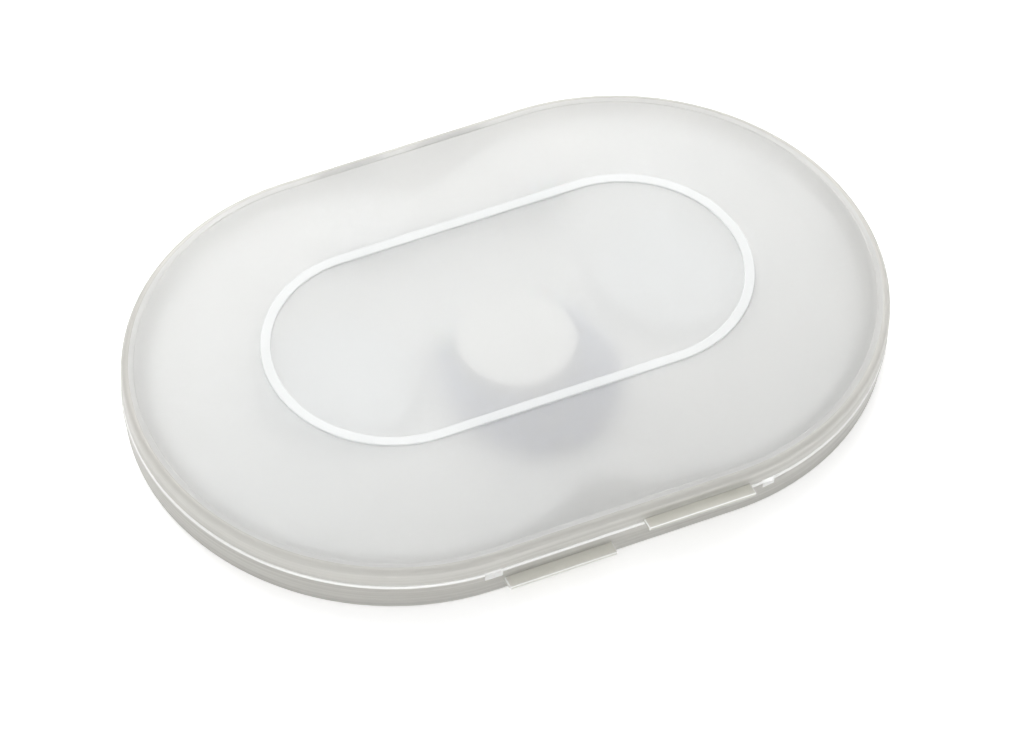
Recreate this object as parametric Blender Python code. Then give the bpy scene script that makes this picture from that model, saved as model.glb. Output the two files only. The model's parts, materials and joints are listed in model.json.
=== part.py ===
"""Flat obround contact lens case: hinged frosted shell, lens tray, screw-capped lens cups and tools.

Metres, +Z up. The origin is the centre of the flat resting face. +X runs along the case,
+Y points at the hinge, and the thumb ledges are on the -Y side. The case is closed.
"""

import math

import bmesh
import bpy
from mathutils import Matrix, Vector

MM = 0.001

# Case
END_RADIUS = 43.7 * MM
HALF_STRAIGHT = 21.3 * MM
BASE_DEPTH = 6.2 * MM
LID_SKIRT = 3.6 * MM
LID_RISE = 4.5 * MM
WALL = 1.2 * MM
FLOOR = 1.2 * MM
BASE_DRAFT = 0.5 * MM
EDGE_ROUND = 1.2 * MM
LINE_INSET = 2.2 * MM
DOME_POWER = 1.8
ARC_STEPS = 18
DOME_STEPS = 5

# Raised band on the lid
BAND_INSET = 23.5 * MM
BAND_WIDTH = 1.5 * MM
BAND_HEIGHT = 0.3 * MM

# Rim lap between base and lid
PARTING_GAP = 0.3 * MM
SEAT_GAP = 0.3 * MM
RIM_CHAMFER = 0.35 * MM
LIP_HEIGHT = 1.2 * MM
LIP_THICKNESS = 0.8 * MM
RIM_BAND = 1.3 * MM

# Thumb ledges and rim notches
LEDGE_LENGTH = 19.0 * MM
LEDGE_THICKNESS = 0.7 * MM
LEDGE_REACH = 2.1 * MM
LEDGE_ROOT = 0.7 * MM
BASE_LEDGE_X = -10.6 * MM
BASE_LEDGE_DROP = 3.0 * MM
LID_LEDGE_X = 13.9 * MM
LEDGE_RAISE = 0.05 * MM
NOTCH_HEIGHT = 1.3 * MM
NOTCH_DEPTH = 0.9 * MM
NOTCHES = ((-22.1 * MM, 3.1 * MM), (26.9 * MM, 2.2 * MM))

# Hinge
HINGE_OUT = 0.45 * MM
HINGE_DROP = 1.2 * MM
HINGE_STATION = 9.2 * MM
KNUCKLE_RADIUS = 1.6 * MM
KNUCKLE_LENGTH = 3.8 * MM
ARM_OUT = 1.3 * MM
ARM_RISE = 1.2 * MM
PIN_RADIUS = 0.7 * MM
PIN_CLEARANCE = 0.25 * MM

# Lens tray
TRAY_INSET = 4.7 * MM
TRAY_WALL = 1.0 * MM

# Lens cups, screw caps and seals
CUP_SHIFT = 8.7 * MM
WELL_RADIUS = 9.2 * MM
CUP_WALL = 1.2 * MM
CUP_HEIGHT = 5.4 * MM
FOOT_CLEARANCE = 0.4 * MM
FOOT_THICKNESS = 1.0 * MM
WELL_ROUND = 0.8 * MM
THREAD_PITCH = 2.4 * MM
THREAD_HEIGHT = 0.7 * MM
THREAD_WIDTH = 0.7 * MM
THREAD_CREST = 0.4 * MM
THREAD_ENGAGEMENT = 0.3 * MM
THREAD_SINK = 0.2 * MM
THREAD_START = 1.4 * MM
SEAL_THICKNESS = 0.5 * MM
CAP_TOP = 1.0 * MM
CAP_WALL = 1.3 * MM
CAP_SKIRT_GAP = 0.6 * MM
SLEEVE_GAP = 0.5 * MM
ROUND_STEPS = 24

# Mirror on its stand
MIRROR_X = -0.9 * MM
MIRROR_Y = -5.2 * MM
MIRROR_RADIUS = 10.0 * MM
MIRROR_RIM = 1.3 * MM
MIRROR_BACK = 0.9 * MM
MIRROR_HEADROOM = 0.6 * MM
GLASS_THICKNESS = 1.0 * MM
STAND_RADIUS = 7.5 * MM
STAND_WALL = 2.0 * MM

# Tweezers
TWEEZER_THICKNESS = 2.2 * MM
TWEEZER_X = -2.2 * MM
TWEEZER_Y = -11.6 * MM
TWEEZER_RADIUS = 15.6 * MM
TWEEZER_MARGIN = 0.6 * MM
TWEEZER_LEAST = 2.4 * MM
TWEEZER_SPLIT = 1.6 * MM
PIVOT_BACK = 10.2 * MM
EYE_RADIUS = 4.0 * MM
PIVOT_RADIUS = 1.2 * MM
ARM_END = math.radians(22)
TIP_SWEEP = math.radians(34)
TONGUE_SWEEP = math.radians(16)
TONGUE_WIDTH = 0.9 * MM
TONGUE_THICKNESS = 0.8 * MM

# Applicator stick and its suction cup
STICK_OUT = 3.8 * MM
STICK_RADIUS = 1.5 * MM
STICK_LENGTH = 40.0 * MM
STICK_SHIFT = -2.5 * MM
SUCKER_RADIUS = 2.4 * MM
SUCKER_LENGTH = 6.5 * MM
SUCKER_GRIP = 3.0 * MM
SUCKER_HOLLOW = 2.2 * MM
CRADLE_X = 12.0 * MM
CRADLE_LENGTH = 4.0 * MM
CRADLE_WIDTH = 6.0 * MM

# Heights and radii that follow from the sizes above
RIM_Z = BASE_DEPTH - PARTING_GAP / 2
LID_Z = BASE_DEPTH + PARTING_GAP / 2
SHOULDER_Z = BASE_DEPTH + LID_SKIRT
PANEL_Z = SHOULDER_Z + LID_RISE
BAND_RADIUS = END_RADIUS - BAND_INSET
LIP_RADIUS = END_RADIUS - WALL - SEAT_GAP
HINGE_Y = END_RADIUS + HINGE_OUT
HINGE_Z = BASE_DEPTH - HINGE_DROP
MIRROR_STACK = GLASS_THICKNESS + MIRROR_BACK + TWEEZER_THICKNESS + 3 * SEAT_GAP
TRAY_TOP = PANEL_Z - WALL - MIRROR_HEADROOM - MIRROR_STACK
TRAY_RADIUS = END_RADIUS - TRAY_INSET
CUP_X = HALF_STRAIGHT + CUP_SHIFT
FOOT_Z = FLOOR + SEAT_GAP
WELL_Z = FOOT_Z + FOOT_THICKNESS
CUP_RIM = FOOT_Z + CUP_HEIGHT
CUP_RADIUS = WELL_RADIUS + CUP_WALL
CAP_BORE = CUP_RADIUS + 2 * THREAD_HEIGHT - THREAD_ENGAGEMENT
CAP_RADIUS = CAP_BORE + CAP_WALL
SLEEVE_RADIUS = CAP_RADIUS + SLEEVE_GAP
FOOT_RADIUS = SLEEVE_RADIUS - FOOT_CLEARANCE
SEAL_Z = CUP_RIM + SEAT_GAP
CAP_CEILING = SEAL_Z + SEAL_THICKNESS + SEAT_GAP
THREAD_Z = WELL_Z + THREAD_START
TWEEZER_Z = TRAY_TOP + SEAT_GAP
STAND_TOP = TWEEZER_Z + TWEEZER_THICKNESS
GLASS_Z = STAND_TOP + SEAT_GAP
PIVOT_Y = TWEEZER_Y - PIVOT_BACK
STICK_Y = BAND_RADIUS + STICK_OUT
STICK_Z = TRAY_TOP + SEAT_GAP + SUCKER_RADIUS


def start_clean():
    """Remove what the file already holds."""
    for item in list(bpy.data.objects):
        bpy.data.objects.remove(item)


def plastic(name, colour, roughness, metallic=0.0, transmission=0.0):
    """Principled material of one piece."""
    material = bpy.data.materials.new(name)
    material.use_nodes = True
    shader = material.node_tree.nodes["Principled BSDF"]
    shader.inputs["Base Color"].default_value = (*colour, 1.0)
    shader.inputs["Roughness"].default_value = roughness
    shader.inputs["Metallic"].default_value = metallic
    shader.inputs["Transmission Weight"].default_value = transmission
    return material


def add_object(name, bm, material=None):
    """Turn a bmesh into an object with its faces pointing out and its round faces smooth."""
    bmesh.ops.recalc_face_normals(bm, faces=bm.faces)
    mesh = bpy.data.meshes.new(name)
    bm.to_mesh(mesh)
    bm.free()
    mesh.shade_smooth()
    mesh.set_sharp_from_angle(angle=math.radians(35))
    item = bpy.data.objects.new(name, mesh)
    bpy.context.scene.collection.objects.link(item)
    if material:
        mesh.materials.append(material)
    return item


def combine(item, tool, operation):
    """Add, or cut away, a helper shape that isn't a piece itself."""
    tool.hide_render = True
    tool.display_type = "WIRE"
    step = item.modifiers.new(tool.name, "BOOLEAN")
    step.operation = operation
    step.solver = "EXACT"
    step.object = tool


def loft(rings):
    """Closed body through rings of equally many points, capped at its first and last ring."""
    bm = bmesh.new()
    loops = [[bm.verts.new(point) for point in ring] for ring in rings]
    for low, high in zip(loops, loops[1:]):
        for here in range(len(low)):
            after = (here + 1) % len(low)
            bm.faces.new((low[here], low[after], high[after], high[here]))
    bm.faces.new(loops[0])
    bm.faces.new(loops[-1])
    return bm


def stadium(radius, z):
    """Obround outline: two half circles joined by the straight sides."""
    points = []
    for side in (1, -1):
        for step in range(ARC_STEPS + 1):
            turn = math.pi * (step / ARC_STEPS - 0.5)
            x = side * (HALF_STRAIGHT + radius * math.cos(turn))
            points.append(Vector((x, side * radius * math.sin(turn), z)))
    return points


def two_lobes(radius, z):
    """Outline of two discs about the case's end centres, with a waist where they cross."""
    reach = math.acos(-HALF_STRAIGHT / radius)
    points = []
    for side in (1, -1):
        for step in range(2 * ARC_STEPS):
            turn = reach * (step / ARC_STEPS - 1)
            x = side * (HALF_STRAIGHT + radius * math.cos(turn))
            points.append(Vector((x, side * radius * math.sin(turn), z)))
    return points


def circle(centre, radius, steps=ROUND_STEPS):
    """Level ring of points about a centre."""
    turns = [math.tau * step / steps for step in range(steps)]
    return [centre + Vector((radius * math.cos(t), radius * math.sin(t), 0)) for t in turns]


def turned(profile, centre, steps=ROUND_STEPS):
    """Body turned about an upright axis from (radius, height) points, capped at both ends."""
    return loft([circle(centre + Vector((0, 0, z)), r, steps) for r, z in profile])


def ring_body(inner, outer, low, high, centre):
    """Flat-ended tube about an upright axis."""
    bm = bmesh.new()
    corners = ((outer, low), (outer, high), (inner, high), (inner, low))
    loops = [[bm.verts.new(p) for p in circle(centre + Vector((0, 0, z)), r)] for r, z in corners]
    for low_loop, high_loop in zip(loops, loops[1:] + loops[:1]):
        for here in range(ROUND_STEPS):
            after = (here + 1) % ROUND_STEPS
            bm.faces.new((low_loop[here], low_loop[after], high_loop[after], high_loop[here]))
    return bm


def block(low, high):
    """Upright block between two corners."""
    centre = (Vector(low) + Vector(high)) / 2
    size = Vector(high) - Vector(low)
    bm = bmesh.new()
    bmesh.ops.create_cube(bm, size=1, matrix=Matrix.Translation(centre) @ Matrix.Diagonal((*size, 1)))
    return bm


def rod(radius, start, length, y, z, steps=16):
    """Cylinder along X."""
    middle = Vector((start + length / 2, y, z))
    place = Matrix.Translation(middle) @ Matrix.Rotation(math.pi / 2, 4, "Y")
    bm = bmesh.new()
    bmesh.ops.create_cone(
        bm, cap_ends=True, segments=steps, radius1=radius, radius2=radius, depth=length, matrix=place
    )
    return bm


def corner_arc(radius, z, rounding, steps=3):
    """Quarter-round points from a level bottom out to a wall."""
    turns = [math.pi / 2 * step / steps for step in range(steps + 1)]
    return [(radius - rounding + rounding * math.sin(t), z + rounding - rounding * math.cos(t)) for t in turns]


def dome_height(radius):
    """Height of the lid's outer face at a distance from the case's spine."""
    share = (radius - BAND_RADIUS) / (END_RADIUS - LINE_INSET - BAND_RADIUS)
    return PANEL_Z - LID_RISE * max(share, 0) ** DOME_POWER


def knuckle_spans(which):
    """Start of each hinge knuckle along X, for the base or the lid."""
    pitch = KNUCKLE_LENGTH + SEAT_GAP
    offsets = (-pitch, pitch) if which == "base" else (0,)
    stations = (-HINGE_STATION, HINGE_STATION)
    return [station + offset - KNUCKLE_LENGTH / 2 for station in stations for offset in offsets]


def add_knuckles(item, which):
    """Hinge knuckles of one shell: room for the other shell's, then its own, then the bore."""
    other = "lid" if which == "base" else "base"
    for count, start in enumerate(knuckle_spans(other)):
        room = rod(
            KNUCKLE_RADIUS + SEAT_GAP, start - SEAT_GAP, KNUCKLE_LENGTH + 2 * SEAT_GAP, HINGE_Y, HINGE_Z
        )
        combine(item, add_object(f"{which}_room_{count}", room), "DIFFERENCE")
    for count, start in enumerate(knuckle_spans(which)):
        knuckle = rod(KNUCKLE_RADIUS, start, KNUCKLE_LENGTH, HINGE_Y, HINGE_Z)
        combine(item, add_object(f"{which}_knuckle_{count}", knuckle), "UNION")
        if which == "lid":
            low = (start, END_RADIUS - WALL / 2, HINGE_Z)
            high = (start + KNUCKLE_LENGTH, END_RADIUS + ARM_OUT, BASE_DEPTH + ARM_RISE)
            combine(item, add_object(f"lid_arm_{count}", block(low, high)), "UNION")
    length = 3 * KNUCKLE_LENGTH + 4 * SEAT_GAP
    for count, station in enumerate((-HINGE_STATION, HINGE_STATION)):
        bore = rod(PIN_RADIUS + PIN_CLEARANCE, station - length / 2, length, HINGE_Y, HINGE_Z, 12)
        combine(item, add_object(f"{which}_bore_{count}", bore), "DIFFERENCE")


def make_base(material):
    """Shallow dish with an inner lap lip, a thumb ledge, two rim notches and hinge knuckles."""
    foot = END_RADIUS - BASE_DRAFT
    lip_inner = LIP_RADIUS - LIP_THICKNESS
    profile = corner_arc(foot, 0, EDGE_ROUND)
    profile += [(END_RADIUS, RIM_Z - RIM_CHAMFER), (END_RADIUS - RIM_CHAMFER, RIM_Z), (LIP_RADIUS, RIM_Z)]
    profile += [(LIP_RADIUS, RIM_Z + LIP_HEIGHT), (lip_inner, RIM_Z + LIP_HEIGHT)]
    profile += [(lip_inner, RIM_Z - RIM_BAND), (foot - WALL, RIM_Z - 2 * RIM_BAND)]
    profile += reversed(corner_arc(foot - WALL, FLOOR, EDGE_ROUND, 2))
    base = add_object("base_shell", loft([stadium(r, z) for r, z in profile]), material)
    top = RIM_Z - BASE_LEDGE_DROP + LEDGE_THICKNESS
    low = (BASE_LEDGE_X - LEDGE_LENGTH / 2, -END_RADIUS - LEDGE_REACH, top - LEDGE_THICKNESS)
    high = (BASE_LEDGE_X + LEDGE_LENGTH / 2, -END_RADIUS + LEDGE_ROOT, top)
    combine(base, add_object("base_ledge", block(low, high)), "UNION")
    for count, (x, length) in enumerate(NOTCHES):
        low = (x - length / 2, -END_RADIUS - WALL, RIM_Z - NOTCH_HEIGHT)
        high = (x + length / 2, -END_RADIUS + NOTCH_DEPTH, RIM_Z + SEAT_GAP)
        combine(base, add_object(f"notch_{count}", block(low, high)), "DIFFERENCE")
    add_knuckles(base, "base")
    return base


def make_lid(material):
    """Domed cover with a flat panel inside a raised band, a thumb ledge and hinge knuckles."""
    line = END_RADIUS - LINE_INSET
    edge = [(radius, 2 * SHOULDER_Z - z) for radius, z in corner_arc(END_RADIUS, SHOULDER_Z, EDGE_ROUND)]
    band_outer = BAND_RADIUS + BAND_WIDTH / 2
    band_inner = BAND_RADIUS - BAND_WIDTH / 2
    dome = [line + (band_outer - line) * step / DOME_STEPS for step in range(DOME_STEPS + 1)]
    outer = [(END_RADIUS, LID_Z)] + edge[::-1]
    outer += [(radius, dome_height(radius)) for radius in dome]
    outer += [(band_outer, PANEL_Z + BAND_HEIGHT), (band_inner, PANEL_Z + BAND_HEIGHT), (band_inner, PANEL_Z)]
    inner = [(END_RADIUS - WALL, LID_Z), (END_RADIUS - WALL, SHOULDER_Z - WALL - WALL / 2)]
    inner += [(line, SHOULDER_Z - WALL)]
    inner += [(radius, dome_height(radius) - WALL) for radius in dome[1:]]
    profile = outer[::-1] + inner
    lid = add_object("lid_shell", loft([stadium(r, z) for r, z in profile]), material)
    bottom = LID_Z + LEDGE_RAISE
    low = (LID_LEDGE_X - LEDGE_LENGTH / 2, -END_RADIUS - LEDGE_REACH, bottom)
    high = (LID_LEDGE_X + LEDGE_LENGTH / 2, -END_RADIUS + LEDGE_ROOT, bottom + LEDGE_THICKNESS)
    combine(lid, add_object("lid_ledge", block(low, high)), "UNION")
    add_knuckles(lid, "lid")
    return lid


def make_hinge_pins(material):
    """One steel pin through each set of three knuckles."""
    length = 3 * KNUCKLE_LENGTH + 2 * SEAT_GAP
    for name, station in (("left", -HINGE_STATION), ("right", HINGE_STATION)):
        pin = rod(PIN_RADIUS, station - length / 2, length, HINGE_Y, HINGE_Z, 12)
        add_object(f"hinge_pin_{name}", pin, material)


def make_tray(material):
    """Two-lobed deck on a skirt, with cup sleeves, a mirror stand and stick cradles."""
    inner = TRAY_RADIUS - TRAY_WALL
    deck = TRAY_TOP - TRAY_WALL
    rings = [two_lobes(inner, deck), two_lobes(inner, FOOT_Z), two_lobes(TRAY_RADIUS, FOOT_Z)]
    rings += [two_lobes(TRAY_RADIUS, TRAY_TOP - WELL_ROUND)]
    rings += [two_lobes(TRAY_RADIUS - WELL_ROUND, TRAY_TOP)]
    tray = add_object("lens_tray", loft(rings), material)
    for side in (-1, 1):
        centre = Vector((side * CUP_X, 0, 0))
        middle = deck + TRAY_WALL / 2
        outside = SLEEVE_RADIUS + TRAY_WALL
        sleeve = turned(((outside, FOOT_Z), (outside, middle)), centre)
        low = (side * CRADLE_X - CRADLE_LENGTH / 2, STICK_Y - CRADLE_WIDTH / 2, middle)
        high = (side * CRADLE_X + CRADLE_LENGTH / 2, STICK_Y + CRADLE_WIDTH / 2, STICK_Z)
        combine(tray, add_object(f"cradle_{side}", block(low, high)), "UNION")
        combine(tray, add_object(f"sleeve_{side}", sleeve), "UNION")
        hole = turned(((SLEEVE_RADIUS, 0), (SLEEVE_RADIUS, TRAY_TOP + FLOOR)), centre)
        combine(tray, add_object(f"cup_hole_{side}", hole), "DIFFERENCE")
    groove = rod(STICK_RADIUS + SEAT_GAP, -2 * CRADLE_X, 4 * CRADLE_X, STICK_Y, STICK_Z)
    combine(tray, add_object("stick_groove", groove), "DIFFERENCE")
    centre = Vector((MIRROR_X, MIRROR_Y, 0))
    stand = ring_body(STAND_RADIUS - STAND_WALL, STAND_RADIUS, deck + TRAY_WALL / 2, STAND_TOP, centre)
    combine(tray, add_object("mirror_stand", stand), "UNION")
    return tray


def thread(centre, wall_radius, outward, start_turn):
    """One turn of a helical ridge, sunk a little into the wall that carries it."""
    direction = 1 if outward else -1
    sink = wall_radius - direction * THREAD_SINK
    crest = wall_radius + direction * THREAD_HEIGHT
    section = (
        (sink, -THREAD_WIDTH / 2),
        (crest, -THREAD_CREST / 2),
        (crest, THREAD_CREST / 2),
        (sink, THREAD_WIDTH / 2),
    )
    rings = []
    for step in range(ROUND_STEPS + 1):
        turn = start_turn + math.tau * step / ROUND_STEPS
        rise = THREAD_Z + THREAD_PITCH * step / ROUND_STEPS
        rings.append(
            [centre + Vector((r * math.cos(turn), r * math.sin(turn), rise + z)) for r, z in section]
        )
    return loft(rings)


def make_cup(name, side, material):
    """Lens cup: a foot that the tray's sleeve keeps in place, a well, and an outside thread."""
    centre = Vector((side * CUP_X, 0, 0))
    profile = [(FOOT_RADIUS, FOOT_Z), (FOOT_RADIUS, WELL_Z), (CUP_RADIUS, WELL_Z)]
    profile += [(CUP_RADIUS, CUP_RIM), (WELL_RADIUS, CUP_RIM)]
    profile += [(WELL_RADIUS, WELL_Z + WELL_ROUND), (WELL_RADIUS - WELL_ROUND, WELL_Z)]
    cup = add_object(f"lens_cup_{name}", turned(profile, centre), material)
    ridge = thread(centre, CUP_RADIUS, True, 0)
    combine(cup, add_object(f"cup_thread_{name}", ridge), "UNION")


def make_cap(name, side, material):
    """Screw cap with an inside thread half a pitch from the cup's, about its own axis."""
    centre = Vector((0, 0, 0))
    skirt = WELL_Z + CAP_SKIRT_GAP
    top = CAP_CEILING + CAP_TOP
    profile = [(CAP_RADIUS - CAP_WALL, CAP_CEILING), (CAP_RADIUS - CAP_WALL, skirt), (CAP_RADIUS, skirt)]
    profile += [(CAP_RADIUS, top - WELL_ROUND), (CAP_RADIUS - WELL_ROUND, top)]
    cap = add_object(f"screw_cap_{name}", turned(profile, centre), material)
    ridge = add_object(f"cap_thread_{name}", thread(centre, CAP_BORE, False, math.pi))
    combine(cap, ridge, "UNION")
    for item in (cap, ridge):
        item.location = (side * CUP_X, 0, 0)


def make_seal(name, side, material):
    """Flat disc between the cup's rim and the cap."""
    radius = CAP_BORE - SLEEVE_GAP
    disc = turned(((radius, SEAL_Z), (radius, SEAL_Z + SEAL_THICKNESS)), Vector((0, 0, 0)))
    seal = add_object(f"cap_seal_{name}", disc, material)
    seal.location = (side * CUP_X, 0, 0)


def make_mirror(frame_material, glass_material):
    """Round mirror lying face down: a frame with a plain back, and its glass."""
    centre = Vector((MIRROR_X, MIRROR_Y, 0))
    recess = GLASS_Z + GLASS_THICKNESS + SEAT_GAP
    opening = MIRROR_RADIUS - MIRROR_RIM
    top = recess + MIRROR_BACK
    profile = [(opening, recess), (opening, GLASS_Z), (MIRROR_RADIUS, GLASS_Z)]
    profile += [(MIRROR_RADIUS, top - SEAT_GAP), (MIRROR_RADIUS - SEAT_GAP, top)]
    add_object("mirror_frame", turned(profile, centre, 32), frame_material)
    pane = turned(((opening - SEAT_GAP, GLASS_Z), (opening - SEAT_GAP, GLASS_Z + GLASS_THICKNESS)), centre, 32)
    add_object("mirror_glass", pane, glass_material)


def crescent_width(turn):
    """Width of a tweezer arm at an angle about the mirror's centre, thick at the bow."""
    shift = Vector((MIRROR_X - TWEEZER_X, MIRROR_Y - TWEEZER_Y))
    along = shift.dot(Vector((math.cos(turn), math.sin(turn))))
    outer = -along + math.sqrt(along**2 - shift.length_squared + TWEEZER_RADIUS**2)
    return max(outer - MIRROR_RADIUS - TWEEZER_MARGIN, TWEEZER_LEAST)


def bowed_plate(side, start, sweep, inset, width, low, high, steps=10):
    """Plate that follows the mirror's rim: angles run from the front round one side to the back."""
    lower = []
    upper = []
    for step in range(steps + 1):
        turn = start + sweep * step / steps
        near = MIRROR_RADIUS + TWEEZER_MARGIN + inset
        far = near + (width if width else crescent_width(turn))
        lower.append((near, turn))
        upper.append((far, turn))
    outline = lower + upper[::-1]
    flat = [(MIRROR_X + side * r * math.cos(t), MIRROR_Y + r * math.sin(t)) for r, t in outline]
    return loft([[Vector((x, y, z)) for x, y in flat] for z in (low, high)])


def make_tweezer_arm(name, side, level, material):
    """One bowed arm with a lapped eye at the pivot and a tongue for its soft tip."""
    top = TWEEZER_Z + TWEEZER_THICKNESS
    middle = TWEEZER_Z + TWEEZER_THICKNESS / 2
    front = -math.pi / 2
    plate = bowed_plate(side, front, ARM_END - front, 0, None, TWEEZER_Z, top, 12)
    arm = add_object(f"tweezer_arm_{name}", plate, material)
    edge = TWEEZER_X + side * TWEEZER_SPLIT / 2
    far = edge - side * TWEEZER_RADIUS
    low = (min(edge, far), PIVOT_Y - TWEEZER_RADIUS, TWEEZER_Z - SEAT_GAP)
    high = (max(edge, far), PIVOT_Y + TWEEZER_RADIUS / 2, top + SEAT_GAP)
    combine(arm, add_object(f"split_{name}", block(low, high)), "DIFFERENCE")
    pivot = Vector((TWEEZER_X, PIVOT_Y, 0))
    room = (TWEEZER_Z - SEAT_GAP, middle + SEAT_GAP / 2) if level else (middle - SEAT_GAP / 2, top + SEAT_GAP)
    eye = (middle + SEAT_GAP / 2, top) if level else (TWEEZER_Z, middle - SEAT_GAP / 2)
    clear = EYE_RADIUS + SEAT_GAP
    cutter = turned(((clear, room[0]), (clear, room[1])), pivot)
    combine(arm, add_object(f"eye_room_{name}", cutter), "DIFFERENCE")
    disc = turned(((EYE_RADIUS, eye[0]), (EYE_RADIUS, eye[1])), pivot)
    combine(arm, add_object(f"eye_{name}", disc), "UNION")
    bore = PIVOT_RADIUS + PIN_CLEARANCE
    hole = turned(((bore, TWEEZER_Z - SEAT_GAP), (bore, top + SEAT_GAP)), pivot, 12)
    combine(arm, add_object(f"pivot_bore_{name}", hole), "DIFFERENCE")
    inset = (TWEEZER_LEAST - TONGUE_WIDTH) / 2
    rise = TONGUE_THICKNESS / 2
    tongue = bowed_plate(
        side, ARM_END - TONGUE_SWEEP, 2 * TONGUE_SWEEP, inset, TONGUE_WIDTH, middle - rise, middle + rise
    )
    combine(arm, add_object(f"tongue_{name}", tongue), "UNION")


def make_tweezer_tip(name, side, material):
    """Soft tip with a socket that the arm's tongue sits in."""
    gap_turn = SEAT_GAP / MIRROR_RADIUS
    top = TWEEZER_Z + TWEEZER_THICKNESS
    middle = TWEEZER_Z + TWEEZER_THICKNESS / 2
    tip = bowed_plate(side, ARM_END + gap_turn, TIP_SWEEP, 0, TWEEZER_LEAST, TWEEZER_Z, top, 8)
    item = add_object(f"tweezer_tip_{name}", tip, material)
    inset = (TWEEZER_LEAST - TONGUE_WIDTH) / 2 - SEAT_GAP
    width = TONGUE_WIDTH + 2 * SEAT_GAP
    rise = TONGUE_THICKNESS / 2 + SEAT_GAP
    sweep = TONGUE_SWEEP + 2 * gap_turn
    socket = bowed_plate(side, ARM_END - gap_turn, sweep + gap_turn, inset, width, middle - rise, middle + rise)
    combine(item, add_object(f"socket_{name}", socket), "DIFFERENCE")


def make_tweezer_pivot(material):
    """Pin through both eyes."""
    pivot = Vector((TWEEZER_X, PIVOT_Y, 0))
    pin = turned(((PIVOT_RADIUS, TWEEZER_Z), (PIVOT_RADIUS, TWEEZER_Z + TWEEZER_THICKNESS)), pivot, 12)
    add_object("tweezer_pivot", pin, material)


def make_stick(stick_material, sucker_material):
    """Applicator stick in its cradles, with a suction cup pushed over one end."""
    start = STICK_SHIFT - STICK_LENGTH / 2
    add_object("applicator_stick", rod(STICK_RADIUS, start, STICK_LENGTH, STICK_Y, STICK_Z), stick_material)
    end = start + STICK_LENGTH
    cup_start = end - SUCKER_GRIP
    cup_end = cup_start + SUCKER_LENGTH
    sucker = rod(SUCKER_RADIUS, cup_start, SUCKER_LENGTH, STICK_Y, STICK_Z)
    item = add_object("suction_cup", sucker, sucker_material)
    bore = rod(STICK_RADIUS + SEAT_GAP, cup_start - WALL, SUCKER_GRIP + SEAT_GAP + WALL, STICK_Y, STICK_Z)
    combine(item, add_object("sucker_bore", bore), "DIFFERENCE")
    hollow = rod(STICK_RADIUS, cup_end - SUCKER_HOLLOW, SUCKER_HOLLOW + WALL, STICK_Y, STICK_Z)
    combine(item, add_object("sucker_hollow", hollow), "DIFFERENCE")


def make_pivot_guides():
    """Empties that mark the joint axes, each the parent of what turns or slides there."""
    groups = {
        "lid_axis": ((0, HINGE_Y, HINGE_Z), ("lid_shell",)),
        "tweezer_axis": ((TWEEZER_X, PIVOT_Y, TWEEZER_Z), ("tweezer_arm_right", "tweezer_tip_right")),
    }
    for name, (place, pieces) in groups.items():
        guide = bpy.data.objects.new(name, None)
        guide.location = place
        bpy.context.scene.collection.objects.link(guide)
        for piece in pieces:
            item = bpy.data.objects[piece]
            tools = [step.object for step in item.modifiers]
            for part in [item] + tools:
                part.parent = guide
                part.matrix_parent_inverse = Matrix.Translation(-Vector(place))


def build():
    """Make every piece of the case."""
    start_clean()
    frosted_lid = plastic("frosted_lid", (0.88, 0.88, 0.87), 0.45, transmission=0.7)
    frosted_base = plastic("frosted_base", (0.82, 0.82, 0.79), 0.45, transmission=0.7)
    steel = plastic("steel", (0.7, 0.7, 0.72), 0.3, metallic=1.0)
    tray_white = plastic("tray_white", (0.9, 0.9, 0.9), 0.5)
    cup_white = plastic("cup_white", (0.92, 0.92, 0.92), 0.35)
    cap_white = plastic("cap_white", (0.9, 0.91, 0.92), 0.4)
    silicone = plastic("silicone", (0.85, 0.86, 0.86), 0.5)
    frame_white = plastic("frame_white", (0.95, 0.95, 0.95), 0.35)
    mirror_silver = plastic("mirror_silver", (0.9, 0.9, 0.92), 0.03, metallic=1.0)
    blue_grey = plastic("blue_grey", (0.45, 0.5, 0.6), 0.4)
    make_base(frosted_base)
    make_lid(frosted_lid)
    make_hinge_pins(steel)
    make_tray(tray_white)
    for name, side in (("left", -1), ("right", 1)):
        make_cup(name, side, cup_white)
        make_cap(name, side, cap_white)
        make_seal(name, side, silicone)
    make_mirror(frame_white, mirror_silver)
    make_tweezer_arm("left", -1, False, blue_grey)
    make_tweezer_arm("right", 1, True, blue_grey)
    make_tweezer_tip("left", -1, silicone)
    make_tweezer_tip("right", 1, silicone)
    make_tweezer_pivot(steel)
    make_stick(cup_white, silicone)
    make_pivot_guides()


build()
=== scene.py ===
"""Looks of the flat contact lens case: frosted polypropylene shells over a white lens kit."""

import json
import math

import bmesh
import bpy
from mathutils import Matrix, Vector


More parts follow.
